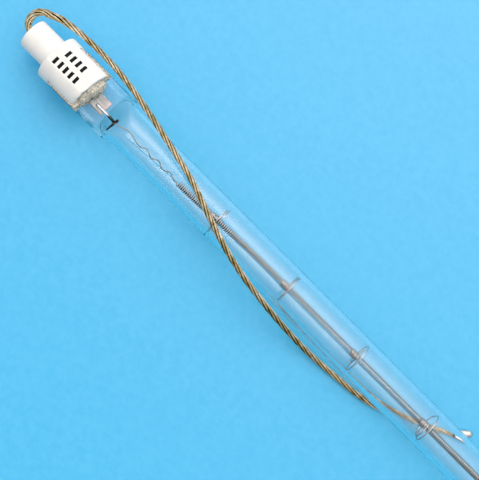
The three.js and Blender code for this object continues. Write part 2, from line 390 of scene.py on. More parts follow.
class Look:
    """A node material being built round one Principled shader. Its coordinates are the object's own."""

    def __init__(self, name):
        self.material = bpy.data.materials.new(name)
        self.material.use_nodes = True
        self.tree = self.material.node_tree
        self.shader = self.tree.nodes["Principled BSDF"]
        self.place = self.node("ShaderNodeTexCoord").outputs["Object"]

    def node(self, kind, **settings):
        node = self.tree.nodes.new(kind)
        for key, value in settings.items():
            setattr(node, key, value)
        return node

    def link(self, source, target):
        self.tree.links.new(source, target)

    def set(self, **values):
        """Sets the shader's own sockets: base_color=... is its Base Color."""
        for key, value in values.items():
            name = key.replace("_", " ").title().replace("Ior", "IOR")
            self.shader.inputs[name].default_value = (*value, 1) if key.endswith("color") else value

    def math(self, operation, *values):
        node = self.node("ShaderNodeMath", operation=operation)
        for socket, value in zip(node.inputs, values):
            if isinstance(value, bpy.types.NodeSocket):
                self.link(value, socket)
            else:
                socket.default_value = value
        return node.outputs[0]

    def axes(self):
        """The place's X, Y and Z."""
        split = self.node("ShaderNodeSeparateXYZ")
        self.link(self.place, split.inputs[0])
        return split.outputs

    def stretched(self, scale):
        mapping = self.node("ShaderNodeMapping")
        mapping.inputs["Scale"].default_value = scale
        self.link(self.place, mapping.inputs["Vector"])
        return mapping.outputs[0]

    def noise(self, size, detail=3.0, stretch=(1, 1, 1), roughness=0.5):
        """Noise whose blotches are about that size."""
        node = self.node("ShaderNodeTexNoise")
        node.inputs["Scale"].default_value = 1 / size
        node.inputs["Detail"].default_value = detail
        node.inputs["Roughness"].default_value = roughness
        self.link(self.stretched(stretch), node.inputs["Vector"])
        return node.outputs["Fac"]

    def ramp(self, source, stops):
        """A colour for each stop: [(position, (r, g, b)), ...]."""
        node = self.node("ShaderNodeValToRGB")
        elements = node.color_ramp.elements
        while len(elements) < len(stops):
            elements.new(0.5)
        for element, (position, color) in zip(elements, stops):
            element.position = position
            element.color = (*color, 1)
        self.link(source, node.inputs[0])
        return node.outputs[0]

    def spread(self, source, low, high, result_low=0.0, result_high=1.0):
        node = self.node("ShaderNodeMapRange")
        values = (low, high, result_low, result_high)
        for socket, value in zip(list(node.inputs)[1:5], values):
            socket.default_value = value
        self.link(source, node.inputs[0])
        return node.outputs[0]

    def blend(self, factor, first, second):
        """Mixes two colours, each a socket or (r, g, b)."""
        node = self.node("ShaderNodeMix", data_type="RGBA")
        self.link(factor, node.inputs["Factor"])
        for socket, value in zip((node.inputs[6], node.inputs[7]), (first, second)):
            if isinstance(value, bpy.types.NodeSocket):
                self.link(value, socket)
            else:
                socket.default_value = (*value, 1)
        return node.outputs[2]

    def exposure(self):
        # The painted-shade value of each point: 0 is painted fully as shade, 1 keeps the material's own
        # colour.
        return self.node("ShaderNodeAttribute", attribute_name="exposure").outputs["Fac"]

    def color(self, source):
        self.link(source, self.shader.inputs["Base Color"])

    def roughness(self, source):
        self.link(source, self.shader.inputs["Roughness"])

    def bump(self, source, height, strength=1.0):
        node = self.node("ShaderNodeBump")
        node.inputs["Distance"].default_value = height
        node.inputs["Strength"].default_value = strength
        self.link(source, node.inputs["Height"])
        self.link(node.outputs[0], self.shader.inputs["Normal"])


def quartz_look():
    """Clear fused quartz with the faint lengthwise lines that drawing the tube leaves.

    It lets most of the light through to what is under it, as clear quartz does.
    """
    look = Look("clear_quartz")
    look.set(base_color=(1, 1, 1), transmission_weight=1.0, ior=1.458)
    lines = look.noise(1.1 * MM, detail=2, stretch=(0.03, 1, 1))
    look.roughness(look.spread(lines, 0.35, 0.75, 0.0, 0.04))
    look.bump(lines, 0.02 * MM, strength=0.12)
    rays = look.node("ShaderNodeLightPath").outputs
    lighting = look.math("MAXIMUM", rays["Is Shadow Ray"], rays["Is Diffuse Ray"])
    clear = look.node("ShaderNodeBsdfTransparent")
    clear.inputs["Color"].default_value = (0.94, 0.95, 0.95, 1)
    either = look.node("ShaderNodeMixShader")
    look.link(lighting, either.inputs[0])
    look.link(look.shader.outputs[0], either.inputs[1])
    look.link(clear.outputs[0], either.inputs[2])
    look.link(either.outputs[0], look.tree.nodes["Material Output"].inputs["Surface"])
    return look.material


def ink_mask(look):
    """1 inside the printed marks on the cap's top: two rows of plain upright bars."""
    x, y, z = look.axes()
    along = look.math("DIVIDE", look.math("SUBTRACT", x, REAR), MM)
    across = look.math("DIVIDE", y, MM)
    wobble = look.spread(look.noise(0.5 * MM), 0.3, 0.7, -0.07, 0.07)
    rows = [(10.05, 4, 2.3), (9.05, 5, -0.63)]  # where each starts, its bars and its middle, in mm
    pitch = 1.55
    bar_share = 0.52
    half_height = 0.87
    total = None
    for start, count, centre in rows:
        offset = look.math("DIVIDE", look.math("SUBTRACT", along, start), pitch)
        bar = look.math("LESS_THAN", look.math("FRACT", offset), bar_share)
        after = look.math("GREATER_THAN", offset, 0.0)
        before = look.math("LESS_THAN", offset, float(count))
        away = look.math("ABSOLUTE", look.math("SUBTRACT", across, centre))
        height = look.math("LESS_THAN", look.math("ADD", away, wobble), half_height)
        inside = look.math("MULTIPLY", look.math("MULTIPLY", bar, after), before)
        row = look.math("MULTIPLY", inside, height)
        total = row if total is None else look.math("MAXIMUM", total, row)
    top_side = look.math("GREATER_THAN", z, CAP_FLAT_HEIGHT / 2)
    return look.math("MULTIPLY", total, top_side)


def ceramic_look(printed):
    """Pressed white steatite: fine grain, faint warm and cool patches, and a little grime."""
    look = Look("printed_ceramic" if printed else "plain_ceramic")
    patches = look.noise(3.5 * MM, detail=2)
    stops = [(0.3, (0.84, 0.81, 0.79)), (0.55, (0.90, 0.87, 0.82)), (0.8, (0.88, 0.85, 0.83))]
    white = look.ramp(patches, stops)
    grains = look.spread(look.noise(0.22 * MM, detail=5, roughness=0.7), 0.62, 0.78)
    color = look.blend(look.math("MULTIPLY", grains, 0.3), white, (0.55, 0.50, 0.44))
    if printed:
        fade = look.spread(look.noise(0.15 * MM), 0.2, 0.35, 0.95, 1.0)
        color = look.blend(look.math("MULTIPLY", ink_mask(look), fade), color, (0.006, 0.006, 0.007))
    look.color(color)
    look.set(specular_ior_level=0.25)
    look.roughness(look.spread(patches, 0.3, 0.8, 0.42, 0.58))
    look.bump(look.noise(0.18 * MM, detail=4), 0.02 * MM, strength=0.5)
    return look.material


def cement_look():
    """Coarse beige cement: pale grit, tan binder and dark pores."""
    look = Look("cap_cement")
    grit = look.noise(0.4 * MM, detail=6, roughness=0.75)
    dark, tan = (0.10, 0.08, 0.06), (0.50, 0.43, 0.32)
    beige, pale = (0.74, 0.67, 0.55), (0.90, 0.86, 0.78)
    look.color(look.ramp(grit, [(0.38, dark), (0.44, tan), (0.52, beige), (0.66, pale)]))
    look.roughness(look.spread(grit, 0.3, 0.7, 0.95, 0.75))
    look.bump(look.noise(0.2 * MM, detail=6, roughness=0.75), 0.12 * MM, strength=1.0)
    return look.material


def tungsten_look():
    """Drawn tungsten wire: bright on the outside of its turns, and painted shade, nearly black, on their
    inner sides and between them.
    """
    look = Look("drawn_tungsten")
    streaks = look.noise(0.25 * MM, detail=3)
    bright = look.ramp(streaks, [(0.3, (0.60, 0.56, 0.53)), (0.7, (0.80, 0.76, 0.71))])
    # Painted shade: the wire goes nearly black away from the crowns of its turns.
    look.color(look.blend(look.exposure(), (0.004, 0.004, 0.005), bright))
    look.set(metallic=1.0)
    look.roughness(look.spread(streaks, 0.3, 0.7, 0.31, 0.4))
    look.bump(streaks, 0.01 * MM, strength=0.4)
    return look.material


def ring_look():
    """The supports' tungsten wire, painted nearly black as shade where its turns sit down in the coil's
    gaps.
    """
    look = Look("support_wire")
    streaks = look.noise(0.3 * MM, detail=3)
    bright = look.ramp(streaks, [(0.3, (0.36, 0.34, 0.34)), (0.7, (0.62, 0.58, 0.57))])
    # Painted shade on the support's turns inside the coil's gaps.
    look.color(look.blend(look.exposure(), (0.01, 0.01, 0.015), bright))
    look.set(metallic=1.0)
    look.roughness(look.spread(streaks, 0.3, 0.7, 0.12, 0.2))
    look.bump(streaks, 0.01 * MM, strength=0.3)
    return look.material


def foil_look():
    """Rolled molybdenum foil: lengthwise roller lines, and a pink tint at the foil's ends."""
    look = Look("molybdenum_foil")
    lines = look.noise(0.35 * MM, detail=3, stretch=(0.05, 1, 1))
    stops = [(0.3, (0.28, 0.27, 0.27)), (0.5, (0.42, 0.405, 0.395)), (0.72, (0.61, 0.585, 0.57))]
    grey = look.ramp(lines, stops)
    inside = look.math("ABSOLUTE", look.axes()[0])
    foil_edge = -REAR - FOIL_END
    tint = look.spread(inside, foil_edge, foil_edge + 1.2 * MM, 0.6, 0.0)
    look.color(look.blend(tint, grey, (0.75, 0.48, 0.46)))
    look.set(metallic=0.85)
    look.roughness(look.spread(lines, 0.3, 0.7, 0.38, 0.55))
    look.bump(lines, 0.03 * MM, strength=0.7)
    return look.material


def pin_look():
    """Molybdenum wire: bright where the quartz seals it in, and painted near black where it stands in
    the hollow: a painted dark reflection.
    """
    look = Look("molybdenum_wire")
    streaks = look.noise(0.4 * MM, detail=3, stretch=(0.2, 1, 1))
    bright = look.ramp(streaks, [(0.3, (0.55, 0.52, 0.51)), (0.7, (0.90, 0.87, 0.85))])
    inside = look.math("ABSOLUTE", look.axes()[0])
    hollow_end = -REAR - HOLLOW_START
    sealed_in = look.spread(inside, hollow_end - 0.8 * MM, hollow_end)
    # Painted dark reflection for the wire in the hollow.
    dark = look.ramp(streaks, [(0.35, (0.006, 0.006, 0.008)), (0.72, (0.07, 0.065, 0.065))])
    look.color(look.blend(sealed_in, dark, bright))
    look.set(metallic=1.0)
    look.roughness(look.spread(streaks, 0.3, 0.7, 0.2, 0.35))
    return look.material


def lead_look():
    """Nickel-plated strands, dulled to tan, with olive stretches and dark specks where they oxidised,
    and painted shade, nearly black, deep between the strands.
    """
    look = Look("nickel_strands")
    patches = look.noise(1.6 * MM, detail=4)
    olive, tan = (0.36, 0.30, 0.14), (0.64, 0.50, 0.30)
    sand, cream = (0.84, 0.68, 0.46), (0.98, 0.86, 0.70)
    metal = look.ramp(patches, [(0.3, olive), (0.46, tan), (0.58, sand), (0.72, cream)])
    specks = look.spread(look.noise(0.22 * MM, detail=3, roughness=0.7), 0.52, 0.66, 0.0, 0.75)
    metal = look.blend(specks, metal, (0.09, 0.075, 0.04))
    # Painted shade: nearly black deep in the lead, between its strands and on its core.
    look.color(look.blend(look.exposure(), (0.012, 0.01, 0.007), metal))
    look.set(metallic=0.9)
    look.roughness(look.spread(patches, 0.3, 0.7, 0.45, 0.3))
    look.bump(look.noise(0.12 * MM, detail=3), 0.01 * MM, strength=0.5)
    return look.material


def weld_look():
    """The fused end of the strands: bright and slightly lumpy, with painted shade in its groove and a
    painted shadow at its very end.
    """
    look = Look("fused_metal")
    lumps = look.noise(0.5 * MM, detail=3)
    bright = look.ramp(lumps, [(0.3, (0.56, 0.48, 0.41)), (0.65, (0.80, 0.72, 0.66))])
    # Painted shade in the groove and painted shadow at the drop's very end.
    look.color(look.blend(look.exposure(), (0.03, 0.02, 0.015), bright))
    look.set(metallic=0.85)
    look.roughness(look.spread(lumps, 0.3, 0.7, 0.22, 0.42))
    look.bump(lumps, 0.05 * MM, strength=0.6)
    return look.material


# The stage: camera, floor and light.


def make_camera():
    """Straight above the lamp's near end, turned so that the lamp runs across the frame's diagonal."""
    camera = bpy.data.objects.new("camera", bpy.data.cameras.new("camera"))
    camera.data.lens = 73.1
    camera.data.sensor_width = 36
    camera.data.clip_start = 0.01
    camera.location = (REAR + 65.8 * MM, 0, 219 * MM)
    camera.rotation_euler = (0, 0, math.radians(45))
    bpy.context.scene.collection.objects.link(camera)
    bpy.context.scene.camera = camera


def floor_look():
    """Pale blue card with a soft sheen."""
    look = Look("pale_card")
    fibres = look.noise(1.5 * MM, detail=5, roughness=0.6)
    look.color(look.ramp(fibres, [(0.35, (0.04, 0.43, 0.79)), (0.65, (0.055, 0.46, 0.82))]))
    look.set(roughness=0.5, specular_ior_level=1.0)
    return look.material


def make_floor():
    """The floor touches the lead's underside near its end, and the far cap's bottom flat.

    The lead lifts the lamp's near end by a little, so here the floor leans and the lamp stays level.
    """
    lead_contact = Vector((REAR + LEAD_TIP_END[0] * MM, 0, LEAD_TIP_END[2] * MM - LEAD_RADIUS))
    cap_contact = Vector((-REAR - CAP_LENGTH / 2, 0, -CAP_FLAT_HEIGHT))
    slope = (cap_contact.z - lead_contact.z) / (cap_contact.x - lead_contact.x)
    clearance = 0.03 * MM
    half_size = 3.0
    corners = []
    for across, side in ((-1, -1), (1, -1), (1, 1), (-1, 1)):
        x, y = across * half_size, side * half_size
        height = lead_contact.z + slope * (x - lead_contact.x) - clearance
        corners.append(Vector((x, y, height)))
    mesh = bpy.data.meshes.new("floor")
    mesh.from_pydata(corners, [], [(0, 1, 2, 3)])
    mesh.materials.append(floor_look())
    new_object("floor", mesh)


def make_light():
    """A pale surround, dimmer on the lamp's -Y side, with one soft light high on its +Y side."""
    light_direction = Vector((-0.12, 0.57, 0.81)).normalized()
    horizon, sideways_gain, overhead_gain = 0.29, 0.12, 0.5
    glow_and_light = ((4.0, 1.15), (16.0, 2.2))  # how tightly each gathers, and its strength
    world = bpy.data.worlds.new("surround")
    bpy.context.scene.world = world
    world.use_nodes = True
    nodes, links = world.node_tree.nodes, world.node_tree.links
    direction = nodes.new("ShaderNodeTexCoord")
    towards = nodes.new("ShaderNodeVectorMath")
    towards.operation = "DOT_PRODUCT"
    towards.inputs[1].default_value = light_direction
    links.new(direction.outputs["Generated"], towards.inputs[0])

    def calculated(operation, first, second):
        node = nodes.new("ShaderNodeMath")
        node.operation = operation
        for socket, value in zip(node.inputs, (first, second)):
            if isinstance(value, bpy.types.NodeSocket):
                links.new(value, socket)
            else:
                socket.default_value = value
        return node.outputs[0]

    away = calculated("SUBTRACT", towards.outputs["Value"], 1.0)
    axes = nodes.new("ShaderNodeSeparateXYZ")
    links.new(direction.outputs["Generated"], axes.inputs[0])
    overhead = calculated("MAXIMUM", axes.outputs["Z"], 0.0)
    brightness = calculated("ADD", calculated("MULTIPLY", overhead, overhead_gain), horizon)
    sideways = calculated("MULTIPLY", axes.outputs["Y"], sideways_gain)
    brightness = calculated("ADD", sideways, brightness)
    for focus, peak in glow_and_light:
        falloff = calculated("EXPONENT", calculated("MULTIPLY", away, focus), 0.0)
        brightness = calculated("ADD", calculated("MULTIPLY", falloff, peak), brightness)
    background = nodes["Background"]
    background.inputs["Color"].default_value = (1.0, 0.99, 0.97, 1)
    links.new(brightness, background.inputs["Strength"])


def set_tone():
    """Plain colours, with the darks pulled down a little for a crisp studio look."""
    view = bpy.context.scene.view_settings
    view.view_transform = "Standard"
    view.use_curve_mapping = True
    all_channels = view.curve_mapping.curves[3]
    for light_in, light_out in ((0.07, 0.045), (0.16, 0.158), (0.6, 0.62)):
        all_channels.points.new(light_in, light_out)
    view.curve_mapping.update()


# The flexible lead.


def in_near_frame(point):
    return NEAR_FRAME @ (Vector(point) * MM)


def looseness(travelled):
    """How far the bundles have opened, from 0 to 1, that far along the lead: most in the tight bend."""
    return smoothstep(4 * MM, 8 * MM, travelled) * (1 - smoothstep(15 * MM, 24 * MM, travelled))


def strand_path(path, frames, spacing, bundle, strand):
    """One fine strand's way round its own bundle, which goes round the lead."""
    slack = noise.noise(Vector((bundle * 3.7, 0.5, 0))) * 0.5
    result = []
    for i, (centre, (side, up)) in enumerate(zip(path, frames)):
        travelled = i * spacing
        loose = looseness(travelled)
        turn = 2 * math.pi * (bundle / LEAD_BUNDLES + travelled / LEAD_LAY)
        turn += loose * slack
        outward = side * math.cos(turn) + up * math.sin(turn)
        onward = up * math.cos(turn) - side * math.sin(turn)
        middle = centre + outward * (LEAD_RADIUS - BUNDLE_RADIUS) * (1 + loose * (0.38 + slack * 0.3))
        own = 2 * math.pi * (strand / BUNDLE_STRANDS + travelled / BUNDLE_LAY) + bundle
        reach = BUNDLE_RADIUS - STRAND_RADIUS
        result.append(middle + (outward * math.cos(own) + onward * math.sin(own)) * reach)
    return result


def make_lead(material):
    """The bundles of strands, laid round a core wire that closes the gaps between them. The core and the
    strands' inner sides get painted shade, nearly black.
    """
    spacing = 0.35 * MM
    points = [in_near_frame(point) for point in LEAD_ROUTE]
    path = evenly(smooth_path(points, 24), spacing)
    frames = moving_frames(path)
    skin = Skin()
    strand_sides = 5
    skin.wire(path, BUNDLE_RADIUS, strand_sides)
    for bundle in range(LEAD_BUNDLES):
        for strand in range(BUNDLE_STRANDS):
            strand_route = strand_path(path, frames, spacing, bundle, strand)
            skin.wire(strand_route, STRAND_RADIUS, strand_sides)
    # Painted shade: the deeper a point lies in the lead, the darker it is painted.
    unshaded_values = []
    for i, place in enumerate(skin.points):
        middle = path[i // strand_sides % len(path)]
        depth = (place - middle).length / LEAD_RADIUS
        unshaded_values.append(smoothstep(0.7, 0.94, depth))
    mesh = skin.mesh("lead_strands")
    mark_painted_shade(mesh, unshaded_values)
    lead = add_piece("lead_strands", mesh, material, ["flex_lead"])
    return lead, path


def make_lead_tip(material, lead_end):
    """The fused stub: a groove where the strands melt together, painted dark as shade, then a bright
    rounded drop.

    The drop's underside is flat where it lies on the floor, and its very end gets a painted shadow.
    """
    tip_end = in_near_frame(LEAD_TIP_END)
    length = (tip_end - lead_end).length
    groove_end = 0.14
    shadow_start = 1.04
    drop = 1.28
    profile = [(0.0, 0.0), (0.0, 0.86), (0.05, 0.78), (0.1, 0.78), (groove_end, 0.84)]
    profile += [(0.2, 0.95), (0.35, 0.95), (0.55, 1.08), (0.8, drop)]
    steps = 12
    for step in range(1, steps + 1):
        angle = math.pi / 2 * step / steps
        profile.append((0.8 + 0.3 * math.sin(angle), drop * math.cos(angle)))
    skin = Skin()
    skin.turned([(share * length, reach * LEAD_RADIUS) for share, reach in profile], 24)
    mesh = skin.mesh("lead_fused_tip")
    shares = [vertex.co.x / length for vertex in mesh.vertices]
    # Painted shade in the groove and a painted shadow at the very end; the drop between keeps its
    # colour.
    mark_painted_shade(mesh, [float(groove_end < share < shadow_start) for share in shares])
    for vertex in mesh.vertices:
        wobble = noise.noise(vertex.co / (0.6 * MM)) * 0.06
        vertex.co.y *= 1 + wobble
        vertex.co.z = max(vertex.co.z * (1 - wobble), -LEAD_RADIUS)
    heading = (tip_end - lead_end).to_track_quat("X", "Z").to_matrix().to_4x4()
    place = Matrix.Translation(lead_end) @ heading
    return add_piece("lead_fused_tip", mesh, material, ["lead_tip"], place)


# The ends of the lamp.


def cap_profile():
    """Half of the cap's lengthwise section, as (along, radius), with softly rounded edges."""
    edge = 0.35 * MM
    front = CAP_LENGTH
    return [
        (BORE_MOUTH_DEPTH, BORE_RADIUS),
        (0.3 * MM, BORE_MOUTH_RADIUS - 0.3 * MM),
        (0, BORE_MOUTH_RADIUS),
        (0, NECK_RADIUS - edge),
        (edge * 0.3, NECK_RADIUS - edge * 0.3),
        (edge, NECK_RADIUS),
        (NECK_LENGTH - 0.3 * MM, NECK_RADIUS),
        (NECK_LENGTH, NECK_RADIUS + 0.3 * MM),
        (NECK_LENGTH, CAP_RADIUS - edge),
        (NECK_LENGTH + edge * 0.3, CAP_RADIUS - edge * 0.3),
        (NECK_LENGTH + edge, CAP_RADIUS),
        (front - edge, CAP_RADIUS),
        (front - edge * 0.3, CAP_RADIUS - edge * 0.3),
        (front, CAP_RADIUS - edge),
        (front, CUP_RADIUS),
        (CUP_START, CUP_RADIUS),
        (CUP_START, BORE_RADIUS),
        (BORE_MOUTH_DEPTH, BORE_RADIUS),
    ]


def cap_mesh():
    """The ceramic cap: a neck, a body with two flats, a slot for the pinch and a worn, leaning front."""
    front = CAP_LENGTH
    skin = Skin()
    skin.turned(cap_profile(), 160)
    reach = CAP_RADIUS * 1.2
    past = front + MM
    slot = ((SLOT_START, -reach, -SLOT_HALF_HEIGHT), (past, reach, SLOT_HALF_HEIGHT))
    above = ((-MM, -reach, CAP_FLAT_HEIGHT), (past, reach, reach))
    below = ((-MM, -reach, -reach), (past, reach, -CAP_FLAT_HEIGHT))
    mesh = remeshed(cut(skin.mesh("cap"), [slot, above, below]), 0.13 * MM, smoothing=4)
    lean = 0.1
    for vertex in mesh.vertices:
        near_front = smoothstep(front - 2 * MM, front, vertex.co.x)
        at_rim = smoothstep(front - 1.2 * MM, front, vertex.co.x)
        wear = 0.18 * MM * noise.noise(vertex.co / (1.1 * MM)) * at_rim
        vertex.co.x += near_front * lean * vertex.co.y + wear
    return mesh


def cement_mesh(seed):
    """The cement, from the CAD solid: closed up against the pinch, heaped at the front and gritty."""
    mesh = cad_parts["near_cap_cement"].data.copy()
    mesh.transform(NEAR_FRAME.inverted())
    mesh = remeshed(mesh, 0.12 * MM)
    slot_half = 1.5 * MM
    heap_side = 2.2 * MM
    for vertex in mesh.vertices:
        x, y, z = vertex.co
        in_slot = 1 - smoothstep(slot_half, SLOT_HALF_HEIGHT - 0.3 * MM, abs(z))
        closing = (slot_half - PINCH_WEB * 0.97) * in_slot
        vertex.co.z = math.copysign(max(abs(z) - closing, 0), z)
        if x > CAP_LENGTH:
            heap = 1 - smoothstep(1 * MM, 3.6 * MM, abs(y - heap_side))
            vertex.co.x = CAP_LENGTH + (x - CAP_LENGTH) * (0.9 + 0.4 * heap)
    mesh.update()
    offset = Vector((seed, seed, seed))
    moved = []
    for vertex in mesh.vertices:
        place = vertex.co / MM
        lumps = noise.noise(place * 1.3 + offset) * 0.2
        grit = noise.noise(place * 4.5 + offset) * 0.14
        moved.append(vertex.co + vertex.normal * (lumps + grit) * MM)
    for vertex, co in zip(mesh.vertices, moved):
        vertex.co = co
    return mesh


def foil_mesh():
    """The foil: feathered, slightly wavy along its edges and a little crinkled."""
    columns, rows = 60, 16
    half_thickness = 0.04 * MM
    skin = Skin()
    rings = []
    for i in range(columns + 1):
        along = mix(FOIL_START, FOIL_END, i / columns)
        top, bottom = [], []
        for j in range(rows + 1):
            across = mix(-1, 1, j / rows)
            edge_wave = 1 + 0.025 * noise.noise(Vector((along / (1.5 * MM), 3.0 * round(across), 0)))
            wrinkle = noise.noise(Vector((along / (2.5 * MM), across * 2.5, 7))) * 0.05 * MM
            feather = half_thickness * math.sqrt(max(1 - across**4, 0.02))
            y = FOIL_SIDE + FOIL_HALF_WIDTH * across * edge_wave
            top.append(Vector((along, y, FOIL_HEIGHT + wrinkle + feather)))
            bottom.append(Vector((along, y, FOIL_HEIGHT + wrinkle - feather)))
        rings.append(top + bottom[::-1])
    skin.rings(rings)
    return skin.mesh("foil")


def hook_mesh():
    """The inner lead: welded on the foil, out of the pinch, with a cross bar on its end."""
    lead_end = HOOK_START.lerp(HOOK_END, 0.3)
    route = [
        (INNER_LEAD_START, INNER_LEAD_SIDE, -0.1 * MM),
        (INNER_LEAD_START + 2 * MM, INNER_LEAD_SIDE, -0.05 * MM),
        (INNER_LEAD_START + 4 * MM, INNER_LEAD_SIDE, 0),
        lead_end,
    ]
    skin = Skin()
    skin.wire(evenly(smooth_path([Vector(p) for p in route], 8), 0.15 * MM), PIN_RADIUS, 16)
    skin.wire(evenly([HOOK_START, HOOK_END], 0.12 * MM), PIN_RADIUS, 16)
    return skin.mesh("hook")


def pin_mesh():
    low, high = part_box("near_outer_pin")
    path = evenly([Vector((low.x - REAR, 0, 0)), Vector((high.x - REAR, 0, 0))], 0.3 * MM)
    skin = Skin()
    skin.wire(path, PIN_RADIUS, 16)
    return skin.mesh("pin")


def sleeve_mesh():
    """The crimp sleeve, pinched in twice round the lead and the pin."""
    low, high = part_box("near_crimp_sleeve")
    start, end = low.x - REAR, high.x - REAR
    radius = high.z
    wall = 0.3 * MM
    steps = 40
    crimps = [mix(start, end, 0.28), mix(start, end, 0.72)]
    outer, inner = [], []
    for i in range(steps + 1):
        along = mix(start, end, i / steps)
        dent = sum(math.exp(-(((along - crimp) / (0.45 * MM)) ** 2)) for crimp in crimps) * 0.12 * MM
        outer.append((along, radius - dent))
        inner.append((along, radius - wall - dent * 0.5))
    profile = [*outer, *inner[::-1], outer[0]]
    skin = Skin()
    skin.turned(profile, 32)
    return skin.mesh("sleeve")


def make_end(end, looks):
    """The cap, cement, foil, pins and sleeve at one end of the lamp."""
    place = END_FRAMES[end]
    ceramic = looks["printed_ceramic"] if end == "near" else looks["ceramic"]
    seed = 0.0 if end == "near" else 20.0
    parts = [
        ("cap_body", cap_mesh(), ceramic, "ceramic", "ceramic_cap"),
        ("cement_fill", cement_mesh(seed), looks["cement"], "cement", "cap_cement"),
        ("foil_strip", foil_mesh(), looks["foil"], "molybdenum", "seal_foil"),
        ("hook_wire", hook_mesh(), looks["pin"], "molybdenum", "inner_lead"),
        ("pin_wire", pin_mesh(), looks["pin"], "molybdenum", "outer_pin"),
        ("crimped_sleeve", sleeve_mesh(), looks["pin"], "nickel", "crimp_sleeve"),
    ]
    for name, mesh, material, slot, node in parts:
        add_piece(f"{end}_{name}", mesh, material, [f"{end}_{node}"], place)


# The quartz envelope.


def end_distance(along):
    """How far a place along the lamp is from the nearer cap's rear face."""
    return min(along, LAMP_LENGTH - along)


def outside_reach(place):
    """The outer section's half width and half height, from the pinch out to the round tube."""
    opening = min(max((place - PINCH_END) / (DOME_END - PINCH_END), 0), 1)
    half_width = mix(PINCH_HALF_WIDTH, TUBE_RADIUS, smoothstep(PINCH_END + 2 * MM, DOME_END, place))
    half_height = mix(PINCH_WEB, TUBE_RADIUS, math.sin(math.pi / 2 * opening) ** 1.4)
    return half_width, half_height


def ring_angles():
    """Angles round the tube, closer together at its top and underside."""
    sides = 144
    crowding = 0.7
    turns = [2 * math.pi * i / sides for i in range(sides)]
    return [turn + crowding / 2 * math.sin(2 * turn) for turn in turns]


def tip_off_rise(along, side):
    """How far the sealed-off pumping tip stands above the tube there."""
    away = math.hypot(along - TIP_OFF_PLACE, side) / TIP_OFF_RADIUS
    return TIP_OFF_HEIGHT * math.exp(-(away**2.6))


def outside_ring(along):
    """The quartz tube's outer section: a flat pinch that opens into a round tube.

    The pinch has thick edges, and a ridge over the pin at its end.
    """
    place = end_distance(along)
    half_width, half_height = outside_reach(place)
    power = mix(7, 2, smoothstep(PINCH_END - MM, PINCH_END + 3 * MM, place))
    pinch_share = 1 - smoothstep(PINCH_END - 2.6 * MM, PINCH_END + 0.4 * MM, place)
    boss_share = 1 - smoothstep(19.6 * MM, 20.6 * MM, place)
    bead_start, bead_full = 4.0 * MM, 4.8 * MM
    boss_height, boss_side, boss_width = 0.75 * MM, 0.3 * MM, 0.65 * MM
    ring = []
    for angle in ring_angles():
        across = math.cos(angle)
        y = half_width * across
        bead = PINCH_BEAD * smoothstep(bead_start, bead_full, abs(y))
        side_of_lamp = y if along < LAMP_LENGTH / 2 else -y
        boss = boss_height * math.exp(-(((side_of_lamp - boss_side) / boss_width) ** 2)) * boss_share
        thickness = half_height + pinch_share * (bead + boss)
        z = math.copysign(thickness * (1 - abs(across) ** power) ** (1 / power), math.sin(angle))
        if z > 0:
            z += tip_off_rise(along, y)
        ring.append(Vector((along, y, z)))
    return ring


def inside_ring(along):
    """The hollow's section: it keeps a wall's thickness from the outside and narrows to a slit."""
    place = end_distance(along)
    half_width, half_height = outside_reach(place)
    share = min(max((place - HOLLOW_START) / (DOME_END - HOLLOW_START), 0), 1)
    bluntness = 9
    half_width = (half_width - TUBE_WALL) * (1 - (1 - share) ** bluntness) ** 0.5
    half_height = max(half_height - TUBE_WALL, 0.01 * MM)
    power = mix(4, 2, smoothstep(HOLLOW_START, DOME_END, place))
    ring = []
    for angle in ring_angles():
        across = math.cos(angle)
        z = half_height * (1 - abs(across) ** power) ** (1 / power)
        ring.append(Vector((along, half_width * across, math.copysign(z, math.sin(angle)))))
    return ring


def lengthwise(start, fine_end, fine_step):
    """Places along the lamp: fine near both ends and round the pumping tip, and coarse between."""
    coarse_step = 11 * MM
    tip_step = 0.12 * MM
    tip_reach = 2.2 * MM
    fine = round((fine_end - start) / fine_step)
    near = [mix(start, fine_end, i / fine) for i in range(fine + 1)]
    far = [LAMP_LENGTH - place for place in reversed(near)]
    coarse = round((LAMP_LENGTH - 2 * fine_end) / coarse_step)
    middle = [mix(near[-1], far[0], i / coarse) for i in range(1, coarse)]
    middle = [place for place in middle if abs(place - TIP_OFF_PLACE) > tip_reach + MM]
    tip = round(tip_reach / tip_step)
    middle += [TIP_OFF_PLACE + tip_step * i for i in range(-tip, tip + 1)]
    return near + sorted(middle) + far


def rounded_end(ring, direction):
    """Smaller and smaller rings that close a pinch with a rounded rim."""
    rounding = 0.25 * MM
    rings = []
    for share in (0.4, 0.75, 1.0):
        shrink = rounding * (1 - math.sqrt(1 - share**2 * 0.999))
        narrower = 1 - shrink / PINCH_HALF_WIDTH
        flatter = 1 - shrink / PINCH_WEB
        forward = direction * rounding * share
        rings.append([Vector((p.x + forward, p.y * narrower, p.z * flatter)) for p in ring])
    return rings


def make_envelope(material):
    outer_start = PINCH_START + 0.25 * MM
    outer = [outside_ring(along) for along in lengthwise(outer_start, 32 * MM, 0.2 * MM)]
    outer = [*rounded_end(outer[0], -1)[::-1], *outer, *rounded_end(outer[-1], 1)]
    inner = [inside_ring(along) for along in lengthwise(HOLLOW_START + 0.02 * MM, 33 * MM, 0.12 * MM)]
    skin = Skin()
    skin.rings(outer)
    first_inner = len(skin.faces)
    skin.rings(inner)
    skin.faces[first_inner:] = [face[::-1] for face in skin.faces[first_inner:]]
    mesh = skin.mesh("quartz_tube", tidy_normals=False)
    return add_piece("quartz_tube", mesh, material, ["quartz_envelope"], NEAR_FRAME)


# The filament and its supports.


